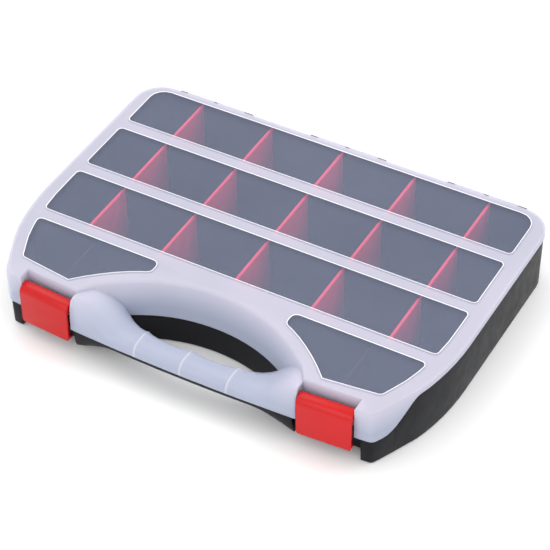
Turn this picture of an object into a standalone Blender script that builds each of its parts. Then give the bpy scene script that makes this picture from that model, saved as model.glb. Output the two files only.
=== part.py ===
"""Small-parts organizer: a black tray, a clear lid on three rear hinges, fifteen lift-out
dividers and two red front latches. Metres, +Z up, X along the length, +Y to the hinges."""

import math

import bmesh
import bpy
from mathutils import Matrix, Vector

# Overall sizes
LID_LENGTH = 0.380
HEIGHT = 0.057
BACK_ROW_DEPTH = 0.0587
ROW_DEPTH = 0.0619
FRONT_ZONE_DEPTH = 0.0743

# Walls and clearances
GAP = 0.0003
WALL = 0.0020
OUTER_WALL = 0.0026
FLOOR = 0.0020
LID_WALL = 0.0018
CASE_STEP = 0.0010
CASE_DRAFT = 0.0008
FOOT_CHAMFER = 0.0010

# Plan outline
BACK_CORNER_R = 0.025
SWEEP_LENGTH = 0.109
SWEEP_R = 0.213
FRONT_CORNER_R = 0.007
CHEEK_SETBACK = 0.0016
# The front is a shallow arc that stands this far proud of its ends in the middle.
BOW = 0.0031
BOW_R = 1.960

# Parting line between lid and tray
SIDE_SKIRT = 0.0070
FRONT_PARTING_SHARE = 0.434
SWOOP_START = 0.0455
SWOOP_END = 0.0100

# Lid top
WINDOW_RISE = 0.0012
WINDOW_MARGIN = 0.0040
WINDOW_BORDER = 0.0123
WINDOW_CORNER_R = 0.0045
WINDOW_TIP_R = 0.0062
BACK_WINDOW_CORNER_R = 0.0140
LID_EDGE_R = 0.0020

# Handle
ARCH_END_X = 0.0080
ARCH_END_Y = 0.0072
ARCH_DRAFT = 0.0056
ARCH_FOOT_DRAFT = 0.0032
ARCH_BAND = 0.0090
HAND_GAP = 0.0306
GRIP_DEPTH = 0.0236
GRIP_RISE = 0.0104
GRIP_DROP = 0.0070
GRIP_WALL = 0.0020
GRIP_END_SETBACK = 0.0004
SHOULDER_LENGTH = 0.048
SHOULDER_TOP_DROP = 0.0017
SHOULDER_FOOT = 0.0050
HOLE_TIP_LENGTH = 0.0315
FINGER_DIP = 0.0016
RIDGE_SHARE = 0.79

# Compartments
ROWS = 3
DIVIDERS_PER_ROW = 5
END_CELL_LENGTH = 0.0520
DIVIDER_THICK = 0.0014
DIVIDER_HEAD = 0.0026
DIVIDER_HEAD_HEIGHT = 0.0030
DIVIDER_HEAD_SETBACK = 0.0050
DIVIDER_TOP_DROP = 0.0042
RIB_THICK = 0.0012
RIB_REACH = 0.0020
RIB_TOP_DROP = 0.0070
POCKET_OVERLAP = 0.0445
CROSS_WALL_END_SPACE = 0.0667
CROSS_WALL_THICK = 0.0014
CROSS_WALL_TOP_DROP = 0.0104

# Rear hinges
HINGE_END_SPACE = 0.063
HINGE_DROP = 0.0095
HINGE_SPAN = 0.070
LUG_REACH = 0.0095
LUG_WIDTH = 0.0065
LUG_ROUND_R = 0.0037
MIDDLE_LUG_WIDTH = 0.0030
PIN_R = 0.0020
KNUCKLE_WALL = 0.0017
KNUCKLE_MOUTH = 60.0
KNUCKLE_MOUTH_TURN = -50.0

# Latches
LATCH_END_SPACE = 0.067
LATCH_WIDTH = 0.0452
RECESS_SETBACK = 0.0124
RECESS_SIDE_GAP = 0.0008
LATCH_PROUD = 0.0021
LATCH_BARREL_R = 0.0036
LATCH_TOP_DROP = 0.0030
LATCH_BARREL_DROP = 0.0115
LATCH_BARREL_SETBACK = 0.0060
LATCH_PLATE = 0.0022
LATCH_FOOT_DROP = 0.0132
LATCH_CORNER_R = 0.0042
LATCH_PIN_R = 0.0015
LATCH_PIN_REACH = 0.0024
CATCH_DROP = 0.0031
CATCH_HEIGHT = 0.0050
CATCH_PROUD = 0.0080
TRAY_RECESS_EXTRA = 0.0030

# Places worked out from the sizes above
DEPTH = (
    BOW + FRONT_ZONE_DEPTH + 3 * WALL + 2 * ROW_DEPTH + BACK_ROW_DEPTH + OUTER_WALL + LUG_REACH
)
FRONT_Y = -DEPTH / 2 + BOW
BACK_Y = DEPTH / 2 - LUG_REACH
HALF = LID_LENGTH / 2
SIDE_PARTING = HEIGHT - SIDE_SKIRT
FRONT_PARTING = HEIGHT * FRONT_PARTING_SHARE
CHEEK_Y = FRONT_Y + CHEEK_SETBACK
RECESS_Y = FRONT_Y + RECESS_SETBACK
SWEEP_Y = FRONT_Y + SWEEP_LENGTH
PLATE_TOP = HEIGHT - WINDOW_RISE
PLATE_UNDER = PLATE_TOP - LID_WALL
TRAY_TOP = PLATE_UNDER - GAP
GRIP_BACK_Y = FRONT_Y + GRIP_DEPTH
ARCH_FOOT_Y = GRIP_BACK_Y + HAND_GAP
ARCH_TOP_Y = ARCH_FOOT_Y + ARCH_DRAFT
LATCH_X = HALF - LATCH_END_SPACE
RECESS_INNER = LATCH_X - LATCH_WIDTH / 2 - RECESS_SIDE_GAP
RECESS_OUTER = LATCH_X + LATCH_WIDTH / 2 + RECESS_SIDE_GAP
ARCH_REACH = RECESS_INNER - ARCH_END_X
ARCH_SAG = ARCH_FOOT_Y - RECESS_Y - ARCH_END_Y
ARCH_R = (ARCH_REACH**2 + ARCH_SAG**2) / (2 * ARCH_SAG)
HOLE_TIP_X = RECESS_INNER - HOLE_TIP_LENGTH
GRIP_FLAT = RECESS_INNER - SHOULDER_LENGTH
RIDGE_PITCH = GRIP_FLAT * RIDGE_SHARE
SHOULDER_RISE = PLATE_TOP - SHOULDER_TOP_DROP - FRONT_PARTING
SHOULDER_DROP = FRONT_PARTING - GAP - SHOULDER_FOOT
POCKET_INNER_X = RECESS_INNER - POCKET_OVERLAP
CROSS_WALL_X = HALF - CROSS_WALL_END_SPACE
TONGUE_INSET = LID_WALL + GAP
CAVITY_INSET = CASE_STEP + OUTER_WALL
HINGE_PITCH = HALF - HINGE_END_SPACE
HINGE_Y = BACK_Y + GAP + PIN_R + GAP + KNUCKLE_WALL
HINGE_Z = HEIGHT - HINGE_DROP
KNUCKLE_R = PIN_R + GAP + KNUCKLE_WALL
BARREL_Y = FRONT_Y + LATCH_BARREL_SETBACK
BARREL_Z = HEIGHT - LATCH_BARREL_DROP
LATCH_FRONT_Y = FRONT_Y - LATCH_PROUD
LATCH_FREE_END = FRONT_PARTING - LATCH_FOOT_DROP
CATCH_TOP = FRONT_PARTING - CATCH_DROP
DIVIDER_PITCH = (LID_LENGTH - 2 * (CAVITY_INSET + END_CELL_LENGTH)) / (DIVIDERS_PER_ROW - 1)
DIVIDER_XS = [(i - (DIVIDERS_PER_ROW - 1) / 2) * DIVIDER_PITCH for i in range(DIVIDERS_PER_ROW)]

BLACK = ("tray_black", (0.042, 0.044, 0.048), 0.42)
CLEAR = ("lid_frosted", (0.62, 0.65, 0.70), 0.35)
RED = ("latch_red", (0.62, 0.030, 0.034), 0.38)
DIVIDER_RED = ("divider_red", (0.60, 0.050, 0.075), 0.45)


def row_span(row):
    """Front and back faces, along Y, of one row of compartments; row 1 is by the hinges."""
    back = BACK_Y - OUTER_WALL
    if row > 1:
        back -= BACK_ROW_DEPTH + WALL + (row - 2) * (ROW_DEPTH + WALL)
    depth = BACK_ROW_DEPTH if row == 1 else ROW_DEPTH
    return back - depth, back


POCKET_BACK_Y = row_span(ROWS)[0] - WALL


def clear_scene():
    for obj in list(bpy.data.objects):
        bpy.data.objects.remove(obj, do_unlink=True)


def material(spec):
    name, colour, roughness = spec
    made = bpy.data.materials.get(name)
    if made is None:
        made = bpy.data.materials.new(name)
        made.use_nodes = True
        shader = made.node_tree.nodes["Principled BSDF"]
        shader.inputs["Base Color"].default_value = (*colour, 1.0)
        shader.inputs["Roughness"].default_value = roughness
        shader.inputs["Metallic"].default_value = 0.0
    return made


def add_object(name, mesh, spec=None):
    """Object of this bmesh, its normals turned out; without a material it is a helper."""
    bmesh.ops.recalc_face_normals(mesh, faces=mesh.faces)
    if mesh.calc_volume(signed=True) < 0:
        bmesh.ops.reverse_faces(mesh, faces=mesh.faces)
    data = bpy.data.meshes.new(name)
    mesh.to_mesh(data)
    mesh.free()
    made = bpy.data.objects.new(name, data)
    bpy.context.scene.collection.objects.link(made)
    if spec is None:
        made.hide_render = True
        made.display_type = "WIRE"
    else:
        data.materials.append(material(spec))
        data.shade_smooth()
        data.set_sharp_from_angle(angle=math.radians(35))
    return made


def side_x(y, inset=0.0):
    """Half-width of the case at this y: straight, then swept in towards the front."""
    sweep = max(0.0, SWEEP_Y - y)
    return HALF - inset - (SWEEP_R - math.sqrt(SWEEP_R**2 - sweep**2))


def arc(centre, radius, start, end, steps):
    """Points on an arc, angles in degrees."""
    points = []
    for i in range(steps + 1):
        angle = math.radians(start + (end - start) * i / steps)
        points.append((centre[0] + radius * math.cos(angle), centre[1] + radius * math.sin(angle)))
    return points


def rounded(points, radius, steps=4):
    """Closed outline with every corner rounded; radius is one value or one for each corner."""
    radii = radius if isinstance(radius, (list, tuple)) else [radius] * len(points)
    out = []
    for i, corner in enumerate(points):
        if radii[i] <= 0:
            out.append(corner)
            continue
        here = Vector(corner)
        before = (Vector(points[i - 1]) - here).normalized()
        after = (Vector(points[(i + 1) % len(points)]) - here).normalized()
        half_angle = before.angle(after) / 2
        reach = radii[i] / math.tan(half_angle)
        centre = here + (before + after).normalized() * (radii[i] / math.sin(half_angle))
        first = (here + before * reach - centre).normalized()
        last = (here + after * reach - centre).normalized()
        for step in range(steps + 1):
            point = centre + first.slerp(last, step / steps) * radii[i]
            out.append((point.x, point.y))
    return out


def offset(points, distance):
    """Closed outline moved inwards by distance, corners kept mitred."""
    area = sum(a[0] * b[1] - b[0] * a[1] for a, b in zip(points, points[1:] + points[:1]))
    turn = 1.0 if area > 0 else -1.0
    out = []
    for i, corner in enumerate(points):
        here = Vector(corner)
        before = (here - Vector(points[i - 1])).normalized()
        after = (Vector(points[(i + 1) % len(points)]) - here).normalized()
        normal_before = Vector((-before.y, before.x)) * turn
        normal_after = Vector((-after.y, after.x)) * turn
        middle = (normal_before + normal_after).normalized()
        point = here + middle * (distance / max(0.4, middle.dot(normal_before)))
        out.append((point.x, point.y))
    return out


def mirrored(half):
    """Full outline from its right half, which runs from the back round to the front."""
    left = [(-x, y) for x, y in reversed(half) if abs(x) > 1e-9]
    return half + left


def arch(apex_y, radius, reach, steps=14):
    """Right half of the handle's arch, from its outer end to its apex on the centre line."""
    points = []
    for i in range(steps + 1):
        x = reach * (1 - i / steps)
        points.append((x, apex_y - radius + math.sqrt(radius**2 - x**2)))
    return points


def back_and_side(end_y, corner_r=BACK_CORNER_R):
    """Right half of the case outline from the back corner to end_y on the swept side."""
    points = arc((HALF - corner_r, BACK_Y + CASE_STEP - corner_r), corner_r, 90, 0, 7)
    steps = 9
    points += [(side_x(y), y) for y in (SWEEP_Y + (end_y - SWEEP_Y) * i / steps for i in range(steps + 1))]
    return points


def case_outline(apex_y, recess_inner=RECESS_INNER, recess_outer=RECESS_OUTER):
    """Outline of lid or tray, with a cheek each side of the latch recesses and the handle's arch."""
    half = back_and_side(CHEEK_Y + FRONT_CORNER_R)
    corner = (side_x(CHEEK_Y), CHEEK_Y)
    fillet = rounded([half[-1], corner, (recess_outer, CHEEK_Y)], [0, FRONT_CORNER_R * 0.8, 0])[1:-1]
    half += fillet + [(recess_outer, CHEEK_Y), (recess_outer, RECESS_Y), (recess_inner, RECESS_Y)]
    half += arch(apex_y, ARCH_R, ARCH_REACH)
    return mirrored(half)


def tongue_outline(apex_y):
    """Outline of the tray's upright wall inside the lid, without the cheeks."""
    half = back_and_side(RECESS_Y) + [(RECESS_INNER, RECESS_Y)]
    half += arch(apex_y, ARCH_R, ARCH_REACH)
    return offset(mirrored(half), TONGUE_INSET)


def flat_faced(mesh):
    """Twisted faces split into triangles, so that a Boolean cuts them one way only."""
    bmesh.ops.recalc_face_normals(mesh, faces=mesh.faces)
    twisted = []
    for face in mesh.faces:
        centre = face.calc_center_median()
        if any(abs((vert.co - centre).dot(face.normal)) > 1e-7 for vert in face.verts):
            twisted.append(face)
    bmesh.ops.triangulate(mesh, faces=twisted)
    return mesh


def loft(rings):
    """Closed solid through rings of equal length, each a plan outline and its height."""
    mesh = bmesh.new()
    loops = [[mesh.verts.new((x, y, z)) for x, y in outline] for outline, z in rings]
    for lower, upper in zip(loops, loops[1:]):
        count = len(lower)
        for i in range(count):
            j = (i + 1) % count
            mesh.faces.new((lower[i], lower[j], upper[j], upper[i]))
    mesh.faces.new(loops[0])
    mesh.faces.new(loops[-1])
    return flat_faced(mesh)


def prism(outline, low, high):
    return loft([(outline, low), (outline, high)])


def box(low, high):
    corners = [(low[0], low[1]), (high[0], low[1]), (high[0], high[1]), (low[0], high[1])]
    return prism(corners, low[2], high[2])


def side_prism(outline_yz, low_x, high_x):
    """Solid of a YZ outline, extruded along X."""
    mesh = prism(outline_yz, low_x, high_x)
    turn = Matrix(((0, 0, 1, 0), (1, 0, 0, 0), (0, 1, 0, 0), (0, 0, 0, 1)))
    bmesh.ops.transform(mesh, matrix=turn, verts=mesh.verts)
    return mesh


def merged(meshes):
    """One bmesh of several solids that don't touch."""
    total = bmesh.new()
    for part in meshes:
        data = bpy.data.meshes.new("part")
        part.to_mesh(data)
        part.free()
        total.from_mesh(data)
        bpy.data.meshes.remove(data)
    return total


def combine(target, mesh, operation):
    """Applies an exact Boolean of a helper solid to the target object."""
    helper = add_object("helper", mesh)
    modifier = target.modifiers.new(operation.lower(), "BOOLEAN")
    modifier.operation = operation
    modifier.solver = "EXACT"
    modifier.object = helper
    graph = bpy.context.evaluated_depsgraph_get()
    result = bpy.data.meshes.new_from_object(target.evaluated_get(graph), depsgraph=graph)
    target.modifiers.clear()
    mesh = bmesh.new()
    mesh.from_mesh(result)
    bmesh.ops.remove_doubles(mesh, verts=mesh.verts, dist=1e-6)
    flat_faced(mesh).to_mesh(result)
    mesh.free()
    old = target.data
    target.data = result
    bpy.data.meshes.remove(old)
    bpy.data.objects.remove(helper, do_unlink=True)


def add(target, mesh):
    combine(target, mesh, "UNION")


def cut(target, mesh):
    combine(target, mesh, "DIFFERENCE")


def bow(x, y):
    """Shift along Y that makes the front one shallow arc and leaves the rows as they are."""
    t = min(1.0, max(0.0, (ARCH_FOOT_Y - 0.002 - y) / (ARCH_FOOT_Y - 0.002 - GRIP_BACK_Y)))
    return t * t * (3 - 2 * t) * (x * x / (2 * BOW_R) - BOW)


def bowed(target):
    """Bends the front of the lid or the tray into its arc."""
    mesh = bmesh.new()
    mesh.from_mesh(target.data)
    for vert in mesh.verts:
        vert.co.y += bow(vert.co.x, vert.co.y)
    flat_faced(mesh).to_mesh(target.data)
    mesh.free()


def swoop(raise_by=0.0, steps=10):
    """Parting line seen from the side, (y, z) from the straight side down to the front."""
    start = FRONT_Y + SWOOP_START
    end = FRONT_Y + SWOOP_END
    points = []
    for i in range(steps + 1):
        t = i / steps
        ease = t * t * (3 - 2 * t)
        z = SIDE_PARTING + (FRONT_PARTING - SIDE_PARTING) * ease
        points.append((start + (end - start) * t, z + raise_by))
    return points


# The handle's arch wall and grip, shared by the lid's half and the tray's half
def arch_apex(z):
    """Y of the arch wall's apex at this height; it leans back all the way up from the floor."""
    if z < FRONT_PARTING:
        return ARCH_FOOT_Y - ARCH_FOOT_DRAFT * (FRONT_PARTING - z) / FRONT_PARTING
    return ARCH_FOOT_Y + ARCH_DRAFT * (z - FRONT_PARTING) / (PLATE_TOP - FRONT_PARTING)


def arch_y(x, z, end_x):
    """Y of the arch wall, or of the straight wall between it and the latch recess at end_x."""
    centre_y = arch_apex(z) - ARCH_R
    across = abs(x)
    if across <= ARCH_REACH:
        return centre_y + math.sqrt(ARCH_R**2 - across**2)
    end_y = centre_y + math.sqrt(ARCH_R**2 - ARCH_REACH**2)
    return end_y + (RECESS_Y - end_y) * (across - ARCH_REACH) / (end_x - ARCH_REACH)


def grip_shoulder(x):
    """0 over the grip's level middle, rising smoothly to 1 beside the latch recess."""
    t = min(1.0, max(0.0, (abs(x) - GRIP_FLAT) / (RECESS_INNER - GRIP_FLAT)))
    return (t * t * (3 - 2 * t)) ** 1.4


def grip_rear(x):
    """0 where the grip's rear edge is free, rising to 1 as it climbs the arch wall."""
    t = min(1.0, max(0.0, (abs(x) - HOLE_TIP_X) / (RECESS_INNER - HOLE_TIP_X)))
    return math.sin(math.pi / 2 * t) ** 0.7


def finger_dip(x):
    """Depth of the four finger grooves; three sharp ridges stand between them."""
    across = abs(x) / RIDGE_PITCH
    if across >= 2:
        return 0.0
    return FINGER_DIP * math.sin(math.pi * (across % 1.0)) ** 0.5


def grip_section(x, base_z, rise, shoulder, end_x, embed):
    """Section of the channel, (y, z): outer curve from front to back, then the inner curve back."""
    way = math.copysign(1.0, rise)
    dip = finger_dip(x) if way > 0 else 0.0
    crown = base_z + rise + (shoulder - rise) * grip_shoulder(x) - dip
    rear = base_z + (shoulder - way * GRIP_WALL * 0.6) * grip_rear(x)
    rear = min(rear, crown - 0.0006) if way > 0 else max(rear, crown + 0.0006)
    joined = grip_rear(x)
    if joined > 0:
        back = arch_y(x, rear, end_x) + embed
    else:
        tip = arch_y(HOLE_TIP_X, base_z, end_x) + embed
        back = GRIP_BACK_Y + (tip - GRIP_BACK_Y) * (abs(x) / HOLE_TIP_X) ** 4
    slope = grip_shoulder(x) if way > 0 else 0.0
    outer = grip_curve(FRONT_Y, back, base_z, crown, rear, slope, dip)
    inner_back = back - GRIP_WALL * (1 - joined)
    inner_rear = rear - way * GRIP_WALL * joined
    inner = grip_curve(FRONT_Y + GRIP_WALL, inner_back, base_z, crown - way * GRIP_WALL, inner_rear, slope)
    return outer + inner[::-1]


def grip_curve(front_y, back_y, front_z, crown_z, back_z, slope=0.0, dip=0.0, steps=10):
    """Rounded hood from (front_y, front_z) over crown_z to (back_y, back_z), its flanks in by dip."""
    points = []
    for i in range(steps + 1):
        angle = math.pi * (1 - i / steps)
        full = 0.75 if i <= steps / 2 else 0.75 + 0.45 * slope
        across = math.copysign(abs(math.cos(angle)) ** full, math.cos(angle))
        up = max(0.0, math.sin(angle)) ** full
        foot_z = front_z if across < 0 else back_z
        y = (front_y + back_y) / 2 + ((back_y - front_y) / 2 - 1.5 * dip * up) * across
        points.append((y, foot_z + (crown_z - foot_z) * up))
    return points


def grip_stations(end_x, ridged):
    """Stations along X: closer together at the ridges and round the hole's tips."""
    half = [0.0]
    if ridged:
        shares = (0.04, 0.12, 0.25, 0.50, 0.75, 0.88, 0.96, 1.00, 1.04, 1.12, 1.25)
        half += [RIDGE_PITCH * share for share in shares]
    else:
        half += [RIDGE_PITCH * share for share in (0.5, 1.0)]
    half += [HOLE_TIP_X - (HOLE_TIP_X - RIDGE_PITCH * 1.25) * share for share in (0.6, 0.25)]
    half += [HOLE_TIP_X, HOLE_TIP_X + 0.0025]
    half += [HOLE_TIP_X + (end_x - HOLE_TIP_X) * t for t in (0.22, 0.38, 0.54, 0.70, 0.85, 1.0)]
    return [-x for x in half[:0:-1]] + half


def grip_shell(base_z, rise, shoulder, end_x, embed):
    """Channel lofted along X through its sections, its ends closed by plates."""
    mesh = bmesh.new()
    loops = []
    for x in grip_stations(end_x, rise > 0):
        section = grip_section(x, base_z, rise, shoulder, end_x, embed)
        loops.append([mesh.verts.new((x, y, z)) for y, z in section])
    for near, far in zip(loops, loops[1:]):
        count = len(near)
        for i in range(count):
            j = (i + 1) % count
            mesh.faces.new((near[i], near[j], far[j], far[i]))
    for loop in (loops[0], loops[-1]):
        steps = len(loop) // 2
        for i in range(steps - 1):
            mesh.faces.new((loop[i], loop[i + 1], loop[-2 - i], loop[-1 - i]))
    return flat_faced(mesh)


def grip_end(side, base_z, rise, shoulder, end_x, embed):
    """Plate that closes the grip's end beside the latch recess, set into the channel's wall."""
    section = grip_section(end_x, base_z, rise, shoulder, end_x, embed)
    count = len(section) // 2
    pairs = zip(section[:count], section[:count - 1:-1])
    middle = [((outer[0] + inner[0]) / 2, (outer[1] + inner[1]) / 2) for outer, inner in pairs]
    foot = base_z + math.copysign(GRIP_END_SETBACK, rise)
    rear_y = middle[-1][0] + GRIP_END_SETBACK
    outline = [(middle[0][0], foot)] + middle[1:-1] + [(rear_y, middle[-1][1]), (rear_y, foot)]
    outer_x = end_x - GRIP_END_SETBACK
    ends = sorted((side * outer_x, side * (outer_x - GRIP_WALL)))
    return side_prism(outline, *ends)


def add_grip(target, base_z, rise, shoulder, end_x, embed):
    add(target, grip_shell(base_z, rise, shoulder, end_x, embed))
    for side in (-1, 1):
        add(target, grip_end(side, base_z, rise, shoulder, end_x, embed))


# The tray
def build_tray():
    insets = (
        (0.0, CASE_STEP + CASE_DRAFT + FOOT_CHAMFER),
        (FOOT_CHAMFER, CASE_STEP + CASE_DRAFT),
        (FRONT_PARTING, CASE_STEP + CASE_DRAFT / 2),
        (SIDE_PARTING - GAP, CASE_STEP),
    )
    inner = RECESS_INNER - TRAY_RECESS_EXTRA
    outer = RECESS_OUTER + TRAY_RECESS_EXTRA
    rings = [(offset(case_outline(arch_apex(z), inner, outer), inset), z) for z, inset in insets]
    tray = add_object("base_tray", loft(rings), BLACK)
    front = FRONT_PARTING - GAP
    reach = RECESS_OUTER + 0.005
    cut(tray, box((-reach, FRONT_Y - 0.01, front), (reach, POCKET_BACK_Y, HEIGHT)))
    line = swoop(-GAP)
    above = [(line[0][0], HEIGHT)] + line + [(FRONT_Y - 0.01, line[-1][1]), (FRONT_Y - 0.01, HEIGHT)]
    for side in (-1, 1):
        ends = sorted((side * RECESS_OUTER, side * (HALF + 0.01)))
        cut(tray, side_prism(above, *ends))
    rings = [(tongue_outline(arch_apex(z)), z) for z in (2 * FOOT_CHAMFER, FRONT_PARTING, TRAY_TOP)]
    add(tray, loft(rings))
    cut_rows(tray)
    cut_pockets(tray)
    hollow_front(tray)
    add_grip(tray, FRONT_PARTING - GAP, -GRIP_DROP, -SHOULDER_DROP, RECESS_INNER - TRAY_RECESS_EXTRA, 0.0026)
    add_slot_ribs(tray)
    add_catches(tray)
    add_hinge_lugs(tray)
    bowed(tray)
    return tray


def row_outline(row):
    """Inside of one row of compartments."""
    front, back = row_span(row)
    if row == 1:
        radius = BACK_CORNER_R - CAVITY_INSET
        centre = (HALF - CAVITY_INSET - radius, back - radius)
        half = arc(centre, radius, 90, 0, 6) + [(HALF - CAVITY_INSET, front)]
        return mirrored(half)
    ys = [back + (front - back) * i / 4 for i in range(5)]
    return mirrored([(side_x(y, CAVITY_INSET), y) for y in ys])


def cut_rows(tray):
    for row in range(1, ROWS + 1):
        cut(tray, prism(row_outline(row), FLOOR, HEIGHT))


def pocket_front_y():
    return RECESS_Y + TONGUE_INSET + WALL


def pocket_outline(z):
    """Inside of the right front pocket: bounded by the arch, the recess and the swept side."""
    radius = ARCH_R + TONGUE_INSET + WALL
    centre_y = arch_apex(z) - ARCH_R
    front = pocket_front_y()
    points = [(POCKET_INNER_X, POCKET_BACK_Y)]
    reach = math.sqrt(radius**2 - (front - centre_y) ** 2)
    steps = 8
    for i in range(steps + 1):
        x = POCKET_INNER_X + (reach - POCKET_INNER_X) * i / steps
        points.append((x, centre_y + math.sqrt(radius**2 - x**2)))
    side_steps = 6
    for i in range(side_steps + 1):
        y = front + (POCKET_BACK_Y - front) * i / side_steps
        points.append((side_x(y, CAVITY_INSET + CASE_DRAFT), y))
    return points


def cut_pockets(tray):
    """Two front pockets, each with a low fixed wall across it."""
    low = (CROSS_WALL_X - CROSS_WALL_THICK / 2, FRONT_Y, FLOOR - 0.001)
    high = (CROSS_WALL_X + CROSS_WALL_THICK / 2, POCKET_BACK_Y + 0.001, HEIGHT - CROSS_WALL_TOP_DROP)
    for side in (-1, 1):
        rings = []
        for z in (FLOOR, FRONT_PARTING, HEIGHT):
            rings.append(([(side * x, y) for x, y in pocket_outline(z)], z))
        cutter = add_object("pocket", loft(rings), BLACK)
        xs = sorted((side * low[0], side * high[0]))
        cut(cutter, box((xs[0], low[1], low[2]), (xs[1], high[1], high[2])))
        mesh = bmesh.new()
        mesh.from_mesh(cutter.data)
        bpy.data.objects.remove(cutter, do_unlink=True)
        cut(tray, mesh)


def hollow_front(tray):
    """Spaces under the handle's arch and behind the cheeks, open from below."""
    steps = 8
    wide = POCKET_INNER_X - WALL
    rings = []
    for z in (-0.001, FRONT_PARTING, TRAY_TOP - WALL):
        centre_y = arch_apex(z) - ARCH_R
        radius = ARCH_R + TONGUE_INSET + WALL
        xs = [wide * (1 - i / steps) for i in range(steps + 1)]
        half = [(wide, POCKET_BACK_Y)] + [(x, centre_y + math.sqrt(radius**2 - x**2)) for x in xs]
        rings.append((mirrored(half), z))
    cut(tray, loft(rings))
    for side in (-1, 1):
        inner = RECESS_OUTER + TRAY_RECESS_EXTRA + CASE_STEP + OUTER_WALL
        front = CHEEK_Y + CASE_STEP + OUTER_WALL
        back = RECESS_Y + TONGUE_INSET - WALL
        outer = side_x(front, CASE_STEP + OUTER_WALL + 0.003)
        if outer - inner > OUTER_WALL:
            plan = ((inner, front), (outer, front), (outer, back), (inner, back))
            corners = [(side * x, y) for x, y in plan]
            cut(tray, prism(corners, -0.001, FRONT_PARTING - GAP - WALL))


def add_slot_ribs(tray):
    """Pairs of upright ribs that hold each divider's ends."""
    ribs = []
    sink = 0.0004
    for row in range(1, ROWS + 1):
        front, back = row_span(row)
        for x in DIVIDER_XS:
            for side in (-1, 1):
                centre = x + side * (DIVIDER_THICK / 2 + GAP + RIB_THICK / 2)
                low, high = centre - RIB_THICK / 2, centre + RIB_THICK / 2
                top = HEIGHT - RIB_TOP_DROP
                ribs.append(box((low, front - sink, FLOOR - sink), (high, front + RIB_REACH, top)))
                ribs.append(box((low, back - RIB_REACH, FLOOR - sink), (high, back + sink, top)))
    add(tray, merged(ribs))


def add_catches(tray):
    """Ledge behind each latch, which its hook snaps past."""
    for side in (-1, 1):
        inner = LATCH_X - LATCH_WIDTH * 0.36
        outer = LATCH_X + LATCH_WIDTH * 0.36
        xs = sorted((side * inner, side * outer))
        back = RECESS_Y + CASE_STEP + 0.001
        front = RECESS_Y - CATCH_PROUD
        bottom = CATCH_TOP - CATCH_HEIGHT
        outline = [(back, bottom), (front, bottom), (front, bottom + 0.002), (back, CATCH_TOP + 0.002)]
        add(tray, side_prism(outline, *xs))


def lug_outline():
    """Side view of a hinge lug: from the back wall, under the lid's edge, round over the pin."""
    root = BACK_Y - OUTER_WALL / 2
    reach = BACK_Y + LUG_REACH
    ledge = SIDE_PARTING - 2 * GAP
    outline = [(root, HINGE_Z - 0.0110), (root, ledge)]
    outline += arc((HINGE_Y, HINGE_Z), LUG_ROUND_R, 143, 0, 8)
    outline += [(reach, HINGE_Z - 0.0012), (reach, HINGE_Z - 0.0050), (reach - 0.0015, HINGE_Z - 0.0065)]
    return outline


def add_hinge_lugs(tray):
    """Three hinges, each with two outer lugs, a middle lug and a moulded pin through them."""
    for centre in (-HINGE_PITCH, 0.0, HINGE_PITCH):
        half = HINGE_SPAN / 2
        spans = [(-half, -half + LUG_WIDTH), (half - LUG_WIDTH, half)]
        spans.append((-MIDDLE_LUG_WIDTH / 2, MIDDLE_LUG_WIDTH / 2))
        lugs = [side_prism(lug_outline(), centre + low, centre + high) for low, high in spans]
        add(tray, merged(lugs))
        pin = arc((HINGE_Y, HINGE_Z), PIN_R, 0, 330, 11)
        add(tray, side_prism(pin, centre - half + 0.001, centre + half - 0.001))


# The lid
def build_lid():
    edge = PLATE_TOP - LID_EDGE_R
    rings = [
        (case_outline(arch_apex(FRONT_PARTING)), FRONT_PARTING),
        (case_outline(arch_apex(edge)), edge),
        (offset(case_outline(arch_apex(PLATE_TOP)), LID_EDGE_R * 0.3), PLATE_TOP - LID_EDGE_R * 0.3),
        (offset(case_outline(arch_apex(PLATE_TOP)), LID_EDGE_R), PLATE_TOP),
    ]
    lid = add_object("lid", loft(rings), CLEAR)
    rings = [
        (offset(case_outline(arch_apex(z)), LID_WALL), z)
        for z in (FRONT_PARTING - 0.001, FRONT_PARTING, PLATE_UNDER)
    ]
    cut(lid, loft(rings))
    open_lid_sides(lid)
    add_grip(lid, FRONT_PARTING, GRIP_RISE, SHOULDER_RISE, RECESS_INNER - GAP / 2, 0.0009)
    add_windows(lid)
    add_knuckles(lid)
    cut_latch_sockets(lid)
    bowed(lid)
    return lid


def open_lid_sides(lid):
    """Takes the lid's wall up to the parting line along the back and sides."""
    cut(lid, box((-HALF - 0.01, POCKET_BACK_Y, 0.0), (HALF + 0.01, BACK_Y + 0.01, SIDE_PARTING)))
    line = swoop()
    back = POCKET_BACK_Y + 0.001
    below = line + [(line[-1][0], 0.0), (back, 0.0), (back, SIDE_PARTING)]
    for side in (-1, 1):
        ends = sorted((side * (RECESS_OUTER + 0.006), side * (HALF + 0.01)))
        cut(lid, side_prism(below, *ends))


def window_outline(row):
    """Raised clear window over one row."""
    front, back = row_span(row)
    front += WINDOW_MARGIN
    back -= WINDOW_MARGIN
    ys = [back + (front - back) * i / 3 for i in range(4)]
    half = [(side_x(y, WINDOW_BORDER), y) for y in ys]
    outline = mirrored(half)
    corner = BACK_WINDOW_CORNER_R if row == 1 else WINDOW_CORNER_R
    radii = [corner, 0, 0, WINDOW_CORNER_R, WINDOW_CORNER_R, 0, 0, corner]
    return rounded(outline, radii)


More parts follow.
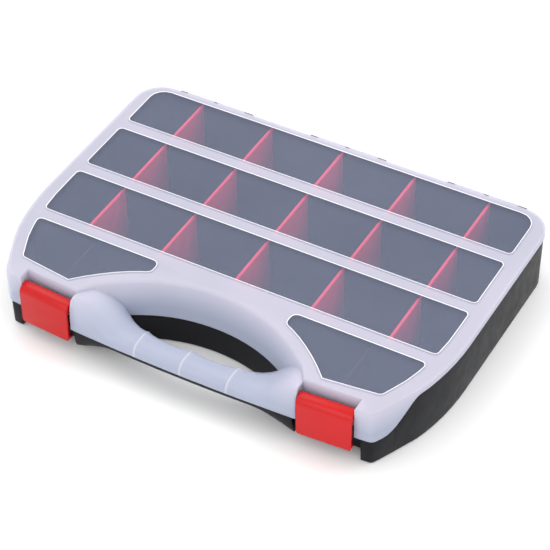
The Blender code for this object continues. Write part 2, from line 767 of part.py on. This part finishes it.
def front_window_outline(side):
    """Raised clear window over a front pocket."""
    back = POCKET_BACK_Y - WINDOW_MARGIN
    front = pocket_front_y() + WINDOW_MARGIN
    centre_y = ARCH_TOP_Y - ARCH_R
    radius = ARCH_R + ARCH_BAND
    tip_x = POCKET_INNER_X + WINDOW_MARGIN
    vee_y = front - 0.0025
    vee_x = math.sqrt(radius**2 - (vee_y - centre_y) ** 2)
    points = [(tip_x, back)]
    steps = 6
    for i in range(steps + 1):
        x = tip_x + (vee_x - tip_x) * i / steps
        points.append((x, centre_y + math.sqrt(radius**2 - x**2)))
    ys = [front + (back - front) * i / 4 for i in range(5)]
    points += [(side_x(y, WINDOW_BORDER), y) for y in ys]
    radii = [WINDOW_TIP_R] * 2 + [0] * (steps - 1) + [0.0012, WINDOW_CORNER_R, 0, 0, 0, WINDOW_CORNER_R]
    outline = rounded(points, radii)
    return outline if side > 0 else [(-x, y) for x, y in outline]


def add_windows(lid):
    outlines = [window_outline(row) for row in range(1, ROWS + 1)]
    outlines += [front_window_outline(side) for side in (-1, 1)]
    pads = []
    for o in outlines:
        pads.append(loft([(o, PLATE_TOP - 0.0006), (o, HEIGHT - 0.0004), (offset(o, 0.0004), HEIGHT)]))
    add(lid, merged(pads))


def add_knuckles(lid):
    """Two open clips at each hinge, joined to the lid's back wall by an arm."""
    inner_r = PIN_R + GAP
    centre_yz = (HINGE_Y, HINGE_Z)
    wall_y = BACK_Y + CASE_STEP - LID_WALL / 2
    arm_low = SIDE_PARTING + 0.0006
    arm_top = HINGE_Z + KNUCKLE_R + 0.0009
    meet = 180 - math.degrees(math.asin((arm_low - HINGE_Z) / KNUCKLE_R))
    lips = (KNUCKLE_MOUTH_TURN + KNUCKLE_MOUTH / 2, 360 + KNUCKLE_MOUTH_TURN - KNUCKLE_MOUTH / 2)
    clip = arc(centre_yz, KNUCKLE_R, lips[0], 75, 7)
    clip += [(wall_y, arm_top), (wall_y, arm_low)]
    clip += arc(centre_yz, KNUCKLE_R, meet, lips[1], 10)
    clip += arc(centre_yz, inner_r, lips[1], lips[0], 16)
    for centre in (-HINGE_PITCH, 0.0, HINGE_PITCH):
        for side in (-1, 1):
            near = MIDDLE_LUG_WIDTH / 2 + GAP * 2
            far = HINGE_SPAN / 2 - LUG_WIDTH - GAP * 2
            ends = sorted((centre + side * near, centre + side * far))
            add(lid, side_prism(clip, *ends))


def cut_latch_sockets(lid):
    """Round sockets in the recess's side walls for the latch's pins."""
    radius = LATCH_PIN_R + GAP
    hole = arc((BARREL_Y, BARREL_Z), radius, 0, 337.5, 15)
    for side in (-1, 1):
        for end, way in ((RECESS_INNER, -1), (RECESS_OUTER, 1)):
            ends = sorted((side * (end - way * 0.001), side * (end + way * LATCH_PIN_REACH * 2)))
            cut(lid, side_prism(hole, *ends))


# The latches
def latch_outline():
    """Side view, (y, z): barrel round the pivot, a rounded top, a flat plate and a hook behind it."""
    front = LATCH_FRONT_Y
    inside = front + LATCH_PLATE
    points = arc((BARREL_Y, BARREL_Z), LATCH_BARREL_R, -60, 90, 9)
    steps = 7
    for i in range(1, steps + 1):
        angle = math.radians(90 * i / steps)
        y = BARREL_Y - (BARREL_Y - front) * math.sin(angle) ** 0.9
        points.append((y, BARREL_Z - LATCH_TOP_DROP + (LATCH_BARREL_R + LATCH_TOP_DROP) * math.cos(angle)))
    points += [(front, LATCH_FREE_END + 0.0012), (front + 0.0012, LATCH_FREE_END), (inside, LATCH_FREE_END)]
    hook_y = RECESS_Y - CATCH_PROUD - GAP
    hook_top = CATCH_TOP - CATCH_HEIGHT
    points += [(hook_y, hook_top - 0.0030), (hook_y, hook_top - 0.0012), (inside, hook_top + 0.0006)]
    under = BARREL_Z - LATCH_BARREL_R - LATCH_TOP_DROP
    points += [(inside, under), (inside + 0.0020, under + 0.0030)]
    return points


def build_latch(name, side):
    """Red latch, its origin on its pivot."""
    half = LATCH_WIDTH / 2
    latch = add_object(name, side_prism(latch_outline(), -half, half), RED)
    corner = LATCH_CORNER_R
    for way in (-1, 1):
        low, high = LATCH_FRONT_Y - 0.002, LATCH_FRONT_Y + 0.012
        triangle = [(way * (half + 0.001), LATCH_FREE_END - 0.001)]
        centre = (way * (half - corner), LATCH_FREE_END + corner)
        start, end = (0, -90) if way > 0 else (180, 270)
        curve = arc(centre, corner, start, end, 5)
        ends = [(way * (half + 0.001), centre[1])], [(centre[0], LATCH_FREE_END - 0.001)]
        outline = triangle + ends[0] + curve + ends[1]
        mesh = prism(outline, low, high)
        turn = Matrix(((1, 0, 0, 0), (0, 0, 1, 0), (0, 1, 0, 0), (0, 0, 0, 1)))
        bmesh.ops.transform(mesh, matrix=turn, verts=mesh.verts)
        bmesh.ops.recalc_face_normals(mesh, faces=mesh.faces)
        cut(latch, mesh)
    pin = arc((BARREL_Y, BARREL_Z), LATCH_PIN_R, 0, 330, 11)
    add(latch, side_prism(pin, -half - LATCH_PIN_REACH, half + LATCH_PIN_REACH))
    latch.data.transform(Matrix.Translation((0, -BARREL_Y, -BARREL_Z)))
    latch.location = (side * LATCH_X, BARREL_Y + bow(LATCH_X, FRONT_Y), BARREL_Z)
    latch.rotation_euler.z = side * math.atan(LATCH_X / BOW_R)
    return latch


# The dividers
def build_divider(name, row, x):
    """Thin plate with a thicker head that stops short of the slots."""
    front, back = row_span(row)
    top = HEIGHT - DIVIDER_TOP_DROP
    low = (-DIVIDER_THICK / 2, front + GAP, FLOOR + GAP)
    high = (DIVIDER_THICK / 2, back - GAP, top - 0.0004)
    divider = add_object(name, box(low, high), DIVIDER_RED)
    half = DIVIDER_HEAD / 2
    lip = 0.0006
    section = [(half, top - DIVIDER_HEAD_HEIGHT), (half, top - lip), (half - lip, top)]
    section += [(lip - half, top), (-half, top - lip), (-half, top - DIVIDER_HEAD_HEIGHT)]
    head = prism(section, front + DIVIDER_HEAD_SETBACK, back - DIVIDER_HEAD_SETBACK)
    turn = Matrix(((1, 0, 0, 0), (0, 0, 1, 0), (0, 1, 0, 0), (0, 0, 0, 1)))
    bmesh.ops.transform(head, matrix=turn, verts=head.verts)
    add(divider, head)
    divider.location.x = x
    return divider


def main():
    clear_scene()
    tray = build_tray()
    lid = build_lid()
    hinge = bpy.data.objects.new("lid_hinge_axis", None)
    bpy.context.scene.collection.objects.link(hinge)
    hinge.location = (0, HINGE_Y, HINGE_Z)
    lid.data.transform(Matrix.Translation((0, -HINGE_Y, -HINGE_Z)))
    lid.parent = hinge
    for name, side in (("latch_left", -1), ("latch_right", 1)):
        latch = build_latch(name, side)
        latch.location -= hinge.location
        latch.parent = hinge
    for row in range(1, ROWS + 1):
        for i, x in enumerate(DIVIDER_XS, start=1):
            divider = build_divider(f"divider_row{row}_{i}", row, x)
            divider.parent = tray


main()
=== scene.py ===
import math

import bmesh
import bpy
from mathutils import Matrix, Vector


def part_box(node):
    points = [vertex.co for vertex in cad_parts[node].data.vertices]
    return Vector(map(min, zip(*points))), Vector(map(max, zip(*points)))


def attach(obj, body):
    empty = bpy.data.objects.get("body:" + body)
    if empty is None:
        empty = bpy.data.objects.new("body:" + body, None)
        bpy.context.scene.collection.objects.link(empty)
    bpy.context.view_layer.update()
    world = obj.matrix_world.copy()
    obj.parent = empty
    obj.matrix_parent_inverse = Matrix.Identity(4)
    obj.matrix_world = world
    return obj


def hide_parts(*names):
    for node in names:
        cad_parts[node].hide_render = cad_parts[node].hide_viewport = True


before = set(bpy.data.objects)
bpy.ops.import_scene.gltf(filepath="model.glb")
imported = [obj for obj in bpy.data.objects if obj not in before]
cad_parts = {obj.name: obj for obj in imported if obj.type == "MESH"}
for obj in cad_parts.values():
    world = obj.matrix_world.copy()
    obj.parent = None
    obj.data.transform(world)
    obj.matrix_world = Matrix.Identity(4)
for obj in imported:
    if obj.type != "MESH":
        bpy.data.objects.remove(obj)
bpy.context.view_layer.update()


MM = 0.001
LID_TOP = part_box("lid")[1].z
LATCH_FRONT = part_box("latch_right")[0].y

# Rounding of the sharp edges
LID_EDGE = 0.35 * MM
TRAY_EDGE = 0.4 * MM
LATCH_EDGE = 0.6 * MM
DIVIDER_EDGE = 0.25 * MM

# Windows of the lid, and the finger ridges across its grip with a painted highlight line on each
WINDOW_RIM = 0.6 * MM
WINDOW_SINK = 0.15 * MM
WINDOW_THICK = 3.0 * MM
RIDGE_PITCH = 40.8 * MM
RIDGE_HIGHLIGHT_WIDTH = 1.3 * MM
GRIP_REACH = 15 * MM

# Height over which the frosted plastic gets paler
FROST_RISE = 21 * MM
FROST_LOW = LID_TOP - WINDOW_THICK - FROST_RISE


# Plastics

def linear(red, green, blue):
    """Linear colour of an 8-bit display colour."""
    values = []
    for value in (red, green, blue):
        share = value / 255
        values.append(share / 12.92 if share <= 0.04045 else ((share + 0.055) / 1.055) ** 2.4)
    return (*values, 1.0)


def noise(tree, coordinates, scale, detail=2.0, roughness=0.5):
    """Noise over a piece, from 0 to 1."""
    node = tree.nodes.new("ShaderNodeTexNoise")
    node.inputs["Scale"].default_value = scale
    node.inputs["Detail"].default_value = detail
    node.inputs["Roughness"].default_value = roughness
    tree.links.new(coordinates, node.inputs["Vector"])
    return node.outputs["Fac"]


def spread(tree, source, low, high, start=0.3, end=0.7):
    """Source remapped so that start to end becomes low to high."""
    node = tree.nodes.new("ShaderNodeMapRange")
    node.inputs["From Min"].default_value = start
    node.inputs["From Max"].default_value = end
    node.inputs["To Min"].default_value = low
    node.inputs["To Max"].default_value = high
    tree.links.new(source, node.inputs["Value"])
    return node.outputs["Result"]


def moulded_plastic(name, colour, shade, roughness, grain, depth, alpha=1.0, specular=0.5, cloud=9.0):
    """Injection-moulded plastic: cloudy colour between two shades, patchy gloss and a fine grain."""
    material = bpy.data.materials.new(name)
    material.use_nodes = True
    tree = material.node_tree
    shader = tree.nodes["Principled BSDF"]
    place = tree.nodes.new("ShaderNodeTexCoord").outputs["Object"]
    clouds = noise(tree, place, cloud, 3.0, 0.55)
    colours = blend(tree, spread(tree, clouds, 0.0, 1.0), shade, colour)
    tree.links.new(colours, shader.inputs["Base Color"])
    patches = noise(tree, place, cloud * 6, 2.0, 0.6)
    tree.links.new(spread(tree, patches, roughness * 0.88, roughness * 1.12), shader.inputs["Roughness"])
    bump = tree.nodes.new("ShaderNodeBump")
    bump.inputs["Strength"].default_value = 0.6
    bump.inputs["Distance"].default_value = depth
    tree.links.new(noise(tree, place, grain, 2.0, 0.6), bump.inputs["Height"])
    tree.links.new(bump.outputs["Normal"], shader.inputs["Normal"])
    shader.inputs["Specular IOR Level"].default_value = specular
    shader.inputs["Alpha"].default_value = alpha
    return material


def times(tree, first, second):
    """Product of two values."""
    node = tree.nodes.new("ShaderNodeMath")
    node.operation = "MULTIPLY"
    tree.links.new(first, node.inputs[0])
    tree.links.new(second, node.inputs[1])
    return node.outputs["Value"]


def blend(tree, factor, first, second):
    """Mix of two colours, each a fixed colour or another node's output."""
    node = tree.nodes.new("ShaderNodeMix")
    node.data_type = "RGBA"
    tree.links.new(factor, node.inputs["Factor"])
    for name, colour in (("A", first), ("B", second)):
        if isinstance(colour, bpy.types.NodeSocket):
            tree.links.new(colour, node.inputs[name])
        else:
            node.inputs[name].default_value = colour
    return node.outputs["Result"]


def frosted_lid():
    """Frosted plastic, thicker and paler on top, with a painted highlight along the finger ridges of the
    grip.
    """
    pale = linear(238, 239, 246)
    material = moulded_plastic(
        "frosted_lid_plastic", linear(212, 208, 226), linear(200, 201, 219), 0.36, 900.0, 0.00003
    )
    tree = material.node_tree
    shader = tree.nodes["Principled BSDF"]
    split = tree.nodes.new("ShaderNodeSeparateXYZ")
    tree.links.new(tree.nodes["Texture Coordinate"].outputs["Object"], split.inputs["Vector"])
    rise = spread(tree, split.outputs["Z"], 0.0, 1.0, FROST_LOW, FROST_LOW + FROST_RISE)
    wall = blend(tree, rise, linear(196, 203, 225), shader.inputs["Base Color"].links[0].from_socket)
    line = tree.nodes.new("ShaderNodeMath")
    line.operation = "PINGPONG"
    line.inputs[1].default_value = RIDGE_PITCH / 2
    tree.links.new(split.outputs["X"], line.inputs[0])
    across = tree.nodes.new("ShaderNodeMath")
    across.operation = "ABSOLUTE"
    tree.links.new(split.outputs["X"], across.inputs[0])
    # Painted highlight: a near-white line along each finger ridge, only on the grip at the front of the
    # lid
    ridge_highlight_mask = spread(tree, line.outputs["Value"], 0.8, 0.0, 0.1 * MM, RIDGE_HIGHLIGHT_WIDTH)
    reach = spread(tree, across.outputs["Value"], 1.0, 0.0, 1.3 * RIDGE_PITCH, 1.4 * RIDGE_PITCH)
    back = LATCH_FRONT + GRIP_REACH
    front = spread(tree, split.outputs["Y"], 1.0, 0.0, back, back + 10 * MM)
    ridge_highlight_mask = times(tree, times(tree, ridge_highlight_mask, reach), front)
    tree.links.new(blend(tree, ridge_highlight_mask, wall, pale), shader.inputs["Base Color"])
    tree.links.new(spread(tree, rise, 0.54, 0.72, 0.0, 1.0), shader.inputs["Alpha"])
    return material


BLACK = linear(13, 14, 20)
DEEP_BLACK = linear(8, 9, 14)

black_tray = moulded_plastic(
    "black_tray_plastic", BLACK, DEEP_BLACK, 0.44, 2600.0, 0.00003, specular=0.2, cloud=14.0
)
frosted_plastic = frosted_lid()
window_clear = moulded_plastic(
    "clear_window_plastic", linear(178, 187, 218), linear(168, 177, 208), 0.20, 60.0, 0.00002, alpha=0.16
)
# Near-white, almost opaque plastic painted on the lid's rounded edges and window rims as a highlight
edge_highlight_white = moulded_plastic(
    "lid_edge_painted_highlight", linear(250, 250, 253), linear(243, 244, 250), 0.30, 700.0, 0.00002, alpha=0.97
)
latch_red = moulded_plastic(
    "red_latch_plastic", linear(196, 8, 12), linear(178, 7, 10), 0.34, 1800.0, 0.00003, specular=0.32
)
divider_red = moulded_plastic(
    "red_divider_plastic", linear(255, 48, 98), linear(246, 40, 86), 0.42, 1500.0, 0.00003
)


# Softened copies of the moulded parts

def merged_copy(node):
    """Bmesh of a CAD node with its loose triangles joined and its flat faces made whole."""
    mesh = bmesh.new()
    mesh.from_mesh(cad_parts[node].data)
    bmesh.ops.remove_doubles(mesh, verts=mesh.verts, dist=0.002 * MM)
    bmesh.ops.dissolve_degenerate(mesh, edges=mesh.edges, dist=0.01 * MM)
    bmesh.ops.dissolve_limit(
        mesh, angle_limit=math.radians(0.6), verts=mesh.verts, edges=mesh.edges, delimit={"NORMAL"}
    )
    return mesh


def soften(mesh, width, segments=3, angle=38.0):
    """Rounds the sharp edges, as a mould leaves them, and returns the rounded faces."""
    sharp = []
    for edge in mesh.edges:
        if len(edge.link_faces) == 2 and edge.calc_face_angle(0.0) > math.radians(angle):
            sharp.append(edge)
    made = bmesh.ops.bevel(
        mesh,
        geom=sharp,
        offset=width,
        offset_type="OFFSET",
        affect="EDGES",
        segments=segments,
        profile=0.5,
        material=-1,
        clamp_overlap=True,
    )
    return made["faces"]


def piece(name, mesh, materials, body, node=None):
    """Finished piece of this bmesh, riding on a body and standing for a CAD node."""
    data = bpy.data.meshes.new(name)
    mesh.to_mesh(data)
    mesh.free()
    made = bpy.data.objects.new(name, data)
    bpy.context.scene.collection.objects.link(made)
    for material in materials:
        data.materials.append(material)
    data.shade_smooth()
    data.set_sharp_from_angle(angle=math.radians(40))
    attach(made, body)
    if node:
        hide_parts(node)
    return made


FROSTED, WINDOW, EDGE = range(3)


def build_lid():
    """Lid of frosted bands and walls, clear windows, and a painted highlight on its rounded edges and
    window rims.
    """
    mesh = merged_copy("lid")
    for face in mesh.faces:
        face.material_index = FROSTED
    rounded = soften(mesh, LID_EDGE)
    # The rounded edges that face up or sideways get the painted edge highlight
    for face in rounded:
        if face.is_valid and face.normal.z > -0.8:
            face.material_index = EDGE
    windows = []
    for face in mesh.faces:
        if face.normal.z > 0.99 and face.calc_center_median().z > LID_TOP - 0.05 * MM:
            windows.append(face)
    made = bmesh.ops.inset_region(
        mesh, faces=windows, thickness=WINDOW_RIM, depth=-WINDOW_SINK, use_even_offset=True
    )
    # The inset rims around the windows get the same painted highlight
    for face in made["faces"]:
        face.material_index = EDGE
    for face in windows:
        face.material_index = WINDOW
    under = LID_TOP - WINDOW_THICK
    for face in mesh.faces:
        if face.normal.z < -0.99 and abs(face.calc_center_median().z - under) < 0.1 * MM:
            face.material_index = WINDOW
    finishes = [frosted_plastic, window_clear, edge_highlight_white]
    return piece("lid_shell", mesh, finishes, "lid", "lid")


def build_tray():
    """Black tray with its compartments and the lower half of the handle."""
    mesh = merged_copy("base_tray")
    soften(mesh, TRAY_EDGE, 2)
    return piece("tray_shell", mesh, [black_tray], "tray", "base_tray")


def build_latch(side):
    """Snap latch of one side, on a body of its own."""
    node = "latch_" + side
    mesh = merged_copy(node)
    soften(mesh, LATCH_EDGE)
    return piece(node + "_shell", mesh, [latch_red], node, node)


def build_divider(node):
    """One lift-out divider, carried by the tray."""
    mesh = merged_copy(node)
    soften(mesh, DIVIDER_EDGE, 2)
    return piece(node + "_plate", mesh, [divider_red], "tray", node)


build_tray()
build_lid()
build_latch("left")
build_latch("right")
for node in sorted(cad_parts):
    if node.startswith("divider"):
        build_divider(node)


# Room, light and camera

def floor():
    """Pale floor just under the case."""
    mesh = bmesh.new()
    bmesh.ops.create_grid(mesh, x_segments=1, y_segments=1, size=6.0)
    data = bpy.data.meshes.new("floor")
    mesh.to_mesh(data)
    mesh.free()
    made = bpy.data.objects.new("floor", data)
    bpy.context.scene.collection.objects.link(made)
    made.location.z = -0.0002
    pale = bpy.data.materials.new("pale_floor")
    pale.use_nodes = True
    shader = pale.node_tree.nodes["Principled BSDF"]
    shader.inputs["Base Color"].default_value = (0.95, 0.95, 0.95, 1.0)
    shader.inputs["Roughness"].default_value = 0.8
    shader.inputs["Specular IOR Level"].default_value = 0.2
    data.materials.append(pale)


def area_light(name, place, size, power, target=(0.0, 0.0, 0.02)):
    """Square softbox that faces the case."""
    lamp = bpy.data.lights.new(name, "AREA")
    lamp.shape = "SQUARE"
    lamp.size = size
    lamp.energy = power
    made = bpy.data.objects.new(name, lamp)
    made.location = place
    made.rotation_euler = (Vector(target) - Vector(place)).to_track_quat("-Z", "Y").to_euler()
    bpy.context.scene.collection.objects.link(made)


def studio():
    """White surroundings and three softboxes."""
    world = bpy.data.worlds.new("studio")
    world.use_nodes = True
    sky = world.node_tree.nodes["Background"]
    sky.inputs["Color"].default_value = (1.0, 1.0, 1.0, 1.0)
    sky.inputs["Strength"].default_value = 1.04
    bpy.context.scene.world = world
    bpy.context.scene.view_settings.view_transform = "Standard"
    area_light("softbox_left", (-0.9, 0.3, 1.6), 1.1, 7.0)
    area_light("softbox_back", (0.8, 0.9, 1.5), 1.3, 9.0)
    area_light("softbox_front", (-0.2, -1.6, 1.2), 1.2, 7.0)


def camera():
    """Long lens from above the front right."""
    lens = bpy.data.cameras.new("camera")
    lens.sensor_width = 36.0
    lens.lens = 139.36
    lens.clip_start = 0.05
    made = bpy.data.objects.new("camera", lens)
    right = Vector((0.87209, 0.48922, -0.01126))
    up = Vector((-0.32422, 0.59490, 0.73551))
    turn = Matrix((right, up, right.cross(up))).transposed()
    made.matrix_world = Matrix.Translation((0.6311, -1.0881, 1.1742)) @ turn.to_4x4()
    bpy.context.scene.collection.objects.link(made)
    bpy.context.scene.camera = made


floor()
studio()
camera()
